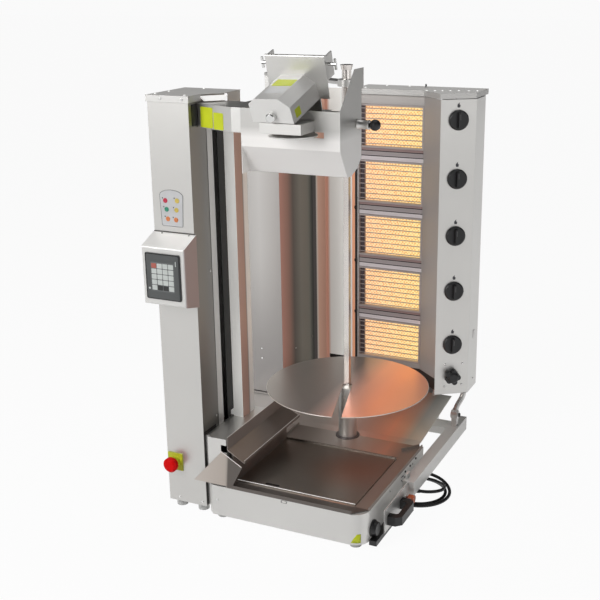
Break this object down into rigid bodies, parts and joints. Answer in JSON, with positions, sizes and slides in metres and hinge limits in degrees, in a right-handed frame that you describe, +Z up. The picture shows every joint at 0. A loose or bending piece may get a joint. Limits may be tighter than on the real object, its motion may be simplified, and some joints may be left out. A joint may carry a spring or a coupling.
{
  "type": "automatic doner kebab grill",
  "caption": "Upright grill with a driven spit and round plate, ceramic gas burners, and a motor cutter head that a column lifts and lowers.",
  "frame": {"origin": "on the floor under the middle of the object's footprint, free cable left out", "axes": "+X to the right seen from the front, +Y to the back, +Z up"},
  "size_m": [0.7406, 0.8844, 1.2118],
  "materials": {
    "satin_steel": "satin stainless sheet with a fine grain",
    "polished_steel": "smoother stainless sheet that mirrors the heat",
    "dark_steel": "heat tinted steel",
    "machined_steel": "turned and plated steel",
    "cast_grey": "cast housing",
    "black_plastic": "moulded matt plastic",
    "black_rubber": "matt rubber",
    "yellow_plastic": "plain yellow plate",
    "red_plastic": "glossy red cap",
    "orange_plastic": "orange knob",
    "glowing_ceramic": "perforated ceramic, glowing",
    "brass_fittings": "brass pipes and valves",
    "cable_jacket": "black cable jacket"
  },
  "bodies": {
    "root": {"base_shell": "satin_steel", "feet": "black_rubber", "drip_tray": "polished_steel", "rear_drip_sheet": "polished_steel", "side_block": "satin_steel", "column_shell": "satin_steel", "column_lid": "satin_steel", "slot_cover": "black_plastic", "guide_frame": "machined_steel", "lift_motor": "cast_grey", "hmi_housing": "satin_steel", "hmi_panel": "black_plastic", "estop_plate": "yellow_plastic", "hub_bearing": "dark_steel", "spit_gearmotor": "cast_grey", "spit_top_arm": "satin_steel", "rear_cabinet": "satin_steel", "rear_wall": "satin_steel", "heat_post": "satin_steel", "slide_rail": "black_plastic", "cover_screws": "machined_steel", "cable_gland": "black_plastic", "power_cable_lead": "cable_jacket", "power_cable_coil": "cable_jacket", "power_plug": "black_plastic"},
    "lift_spindle": {"lift_screw": "machined_steel"},
    "carriage": {"lift_carriage": "machined_steel", "cutter_arm": "satin_steel", "hood": "satin_steel", "yoke": "satin_steel", "wing_screws": "machined_steel", "cutter_housing": "satin_steel", "cutter_base": "satin_steel", "cutter_motor": "cast_grey"},
    "blade": {"cutter_blade": "machined_steel"},
    "slice_dial": {"slice_knob": "machined_steel"},
    "plunger": {"plunger_knob": "black_plastic"},
    "estop": {"estop_button": "red_plastic"},
    "spit": {"spit": "polished_steel", "spit_hub": "polished_steel", "meat_plate": "polished_steel"},
    "insert": {"tray_insert": "polished_steel"},
    "chute": {"slice_chute": "polished_steel"},
    "burner": {"burner_housing": "satin_steel", "burner_casings": "dark_steel", "burner_ceramics": "glowing_ceramic", "gas_train": "brass_fittings", "control_column": "satin_steel", "burner_lid": "satin_steel", "support_tube": "satin_steel", "slide_frame": "satin_steel", "bridge_handle": "black_plastic"},
    "star_screw": {"star_knob": "black_plastic"},
    "release": {"release_knob": "orange_plastic"},
    "main_switch": {"main_switch_knob": "black_plastic"},
    "gas_valve_1": {"gas_knob_1": "black_plastic"},
    "gas_valve_2": {"gas_knob_2": "black_plastic"},
    "gas_valve_3": {"gas_knob_3": "black_plastic"},
    "gas_valve_4": {"gas_knob_4": "black_plastic"},
    "gas_valve_5": {"gas_knob_5": "black_plastic"}
  },
  "joints": [
    {"name": "lift", "type": "slide", "parent": "root", "child": "carriage", "axis": [0, 0, 1], "range_m": [-0.56, 0]},
    {"name": "lift_spindle_turn", "type": "hinge", "parent": "root", "child": "lift_spindle", "pos_m": [-0.2185, -0.2578, 0.6], "axis": [0, 0, 1], "range_deg": [-10100, 10]},
    {"name": "blade_spin", "type": "hinge", "parent": "carriage", "child": "blade", "pos_m": [0.1095, -0.3668, 1.029], "axis": [0, 0, 1], "continuous": true},
    {"name": "slice_dial_turn", "type": "hinge", "parent": "carriage", "child": "slice_dial", "pos_m": [0.0885, -0.4278, 1.078], "axis": [0, -0.9563, -0.2924], "range_deg": [0, 270]},
    {"name": "plunger_pull", "type": "slide", "parent": "carriage", "child": "plunger", "axis": [1, 0, 0], "range_m": [0, 0.008], "stiffness_N_per_m": 800},
    {"name": "estop_press", "type": "slide", "parent": "root", "child": "estop", "axis": [0, 1, 0], "range_m": [0, 0.004]},
    {"name": "spit_spin", "type": "hinge", "parent": "root", "child": "spit", "pos_m": [0.0615, 0.0482, 0.26], "axis": [0, 0, 1], "continuous": true},
    {"name": "insert_lift", "type": "slide", "parent": "root", "child": "insert", "axis": [0, 0, 1], "range_m": [0, 0.05]},
    {"name": "chute_lift", "type": "slide", "parent": "root", "child": "chute", "axis": [0, 0, 1], "range_m": [0, 0.015]},
    {"name": "burner_slide", "type": "slide", "parent": "root", "child": "burner", "axis": [0, 1, 0], "range_m": [0, 0.04]},
    {"name": "star_screw_turn", "type": "hinge", "parent": "burner", "child": "star_screw", "pos_m": [0.2955, 0.2772, 0.243], "axis": [0.5547, -0.8321, 0], "range_deg": [0, 360]},
    {"name": "release_push", "type": "slide", "parent": "burner", "child": "release", "axis": [-1, 0, 0], "range_m": [0, 0.005], "stiffness_N_per_m": 800},
    {"name": "main_switch_turn", "type": "hinge", "parent": "root", "child": "main_switch", "pos_m": [0.2875, -0.3178, 0.047], "axis": [1, 0, 0], "range_deg": [0, 90]},
    {"name": "gas_valve_1_turn", "type": "hinge", "parent": "burner", "child": "gas_valve_1", "pos_m": [0.2955, 0.2772, 0.992], "axis": [0.5547, -0.8321, 0], "range_deg": [0, 240]},
    {"name": "gas_valve_2_turn", "type": "hinge", "parent": "burner", "child": "gas_valve_2", "pos_m": [0.2955, 0.2772, 0.829], "axis": [0.5547, -0.8321, 0], "range_deg": [0, 240]},
    {"name": "gas_valve_3_turn", "type": "hinge", "parent": "burner", "child": "gas_valve_3", "pos_m": [0.2955, 0.2772, 0.666], "axis": [0.5547, -0.8321, 0], "range_deg": [0, 240]},
    {"name": "gas_valve_4_turn", "type": "hinge", "parent": "burner", "child": "gas_valve_4", "pos_m": [0.2955, 0.2772, 0.503], "axis": [0.5547, -0.8321, 0], "range_deg": [0, 240]},
    {"name": "gas_valve_5_turn", "type": "hinge", "parent": "burner", "child": "gas_valve_5", "pos_m": [0.2955, 0.2772, 0.34], "axis": [0.5547, -0.8321, 0], "range_deg": [0, 240]}
  ],
  "couplings": [
    {"joint": "lift_spindle_turn", "follows": "lift", "rad_per_m": 314.16}
  ]
}
